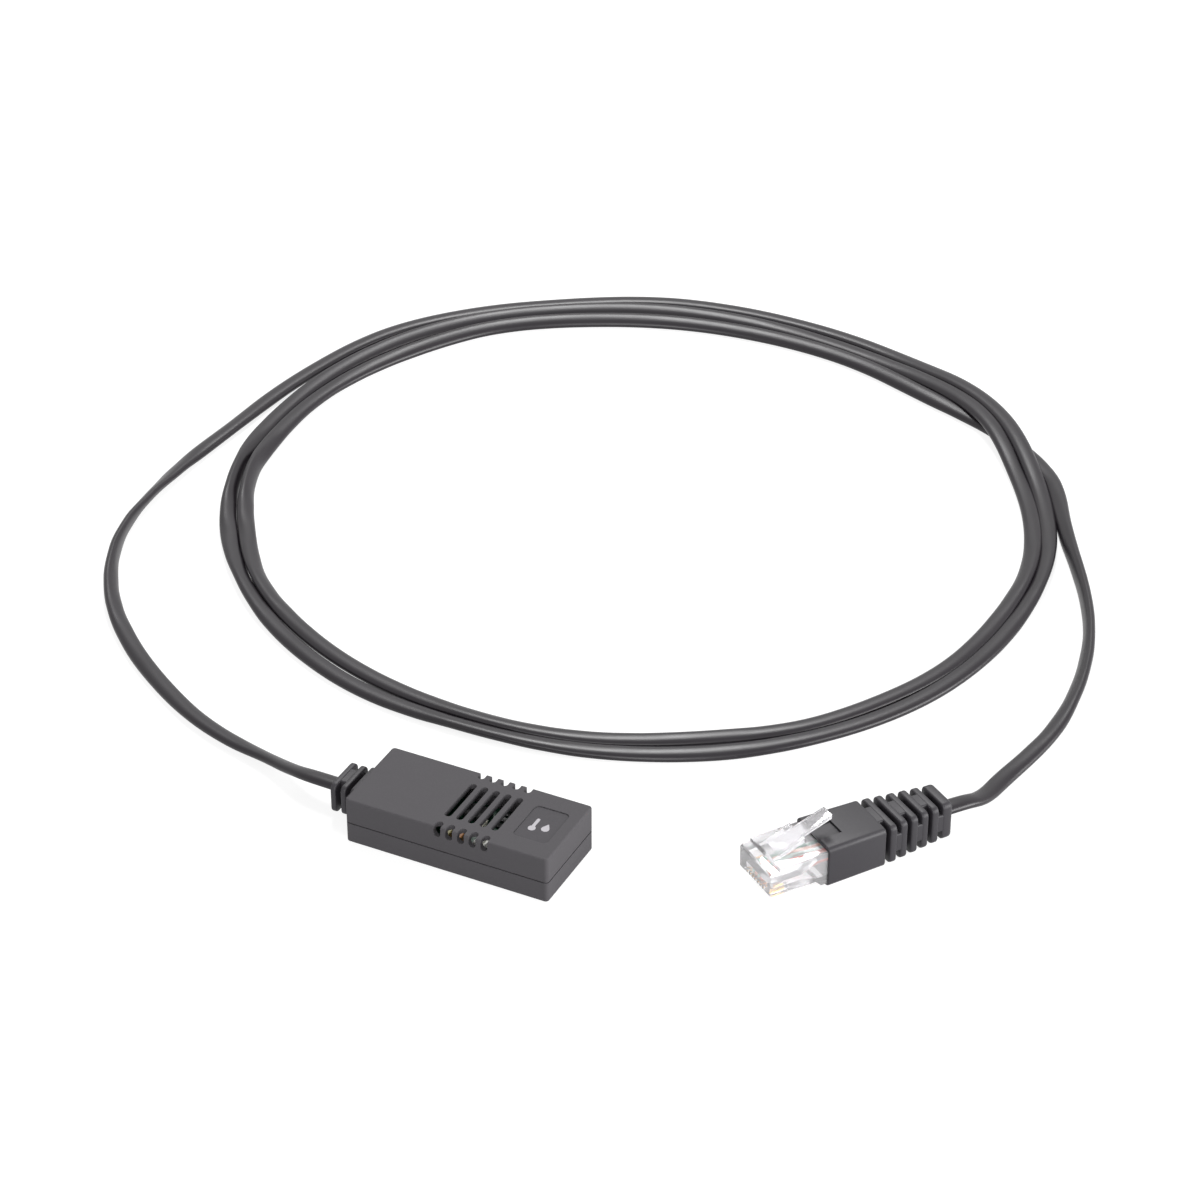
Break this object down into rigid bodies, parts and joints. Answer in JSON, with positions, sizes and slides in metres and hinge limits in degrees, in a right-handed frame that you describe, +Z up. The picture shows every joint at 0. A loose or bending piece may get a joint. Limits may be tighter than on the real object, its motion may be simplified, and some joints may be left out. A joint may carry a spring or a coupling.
{
  "type": "rack temperature sensor",
  "caption": "Small vented temperature and humidity sensor on a coiled flat lead that ends in a booted modular plug.",
  "frame": {"origin": "middle of the sensor housing's underside, on the surface that everything lies on", "axes": "+X along the housing away from its cord, +Z up out of the vented face"},
  "size_m": [0.2269, 0.2383, 0.0139],
  "materials": {
    "housing_plastic": "finely textured moulded plastic",
    "label_film": "matte label film",
    "moulded_strain_relief": "soft matte moulding",
    "cord_jacket": "smooth satin jacket",
    "boot_rubber": "soft matte moulding",
    "clear_plug": "clear polished plastic",
    "contact_gold": "gold plated",
    "wire_green": "smooth insulation",
    "wire_orange": "smooth insulation",
    "wire_pale_green": "smooth insulation",
    "wire_red_orange": "smooth insulation",
    "board_green": "solder mask",
    "element_white": "matte moulded cap",
    "bead_ivory": "dipped bead",
    "capacitor_orange": "moulded case",
    "capacitor_yellow_green": "moulded case",
    "chip_black": "moulded case",
    "resistor_black": "glazed ceramic",
    "capacitor_tan": "ceramic",
    "solder": "bright tin"
  },
  "bodies": {
    "root": {"upper_shell": "housing_plastic", "lower_shell": "housing_plastic", "label": "label_film", "cord_grommet": "moulded_strain_relief", "circuit_board": "board_green", "humidity_element": "element_white", "thermistor": "bead_ivory", "tantalum_capacitor": "capacitor_orange", "film_capacitor": "capacitor_yellow_green", "controller_chip": "chip_black", "chip_resistors": "resistor_black", "chip_capacitors": "capacitor_tan", "solder_joints": "solder", "board_wire_green": "wire_green", "board_wire_orange": "wire_orange", "board_wire_pale_green": "wire_pale_green", "board_wire_red_orange": "wire_red_orange", "sensor_tail": "cord_jacket", "cord_coil": "cord_jacket", "plug_tail": "cord_jacket", "plug_cord_end": "cord_jacket", "plug_body": "clear_plug", "plug_wire_green": "wire_green", "plug_wire_orange": "wire_orange", "plug_wire_pale_green": "wire_pale_green", "plug_wire_red_orange": "wire_red_orange", "plug_boot": "boot_rubber", "plug_contact_1": "contact_gold", "plug_contact_2": "contact_gold", "plug_contact_3": "contact_gold", "plug_contact_4": "contact_gold", "plug_contact_5": "contact_gold", "plug_contact_6": "contact_gold", "plug_contact_7": "contact_gold", "plug_contact_8": "contact_gold"}
  },
  "joints": []
}
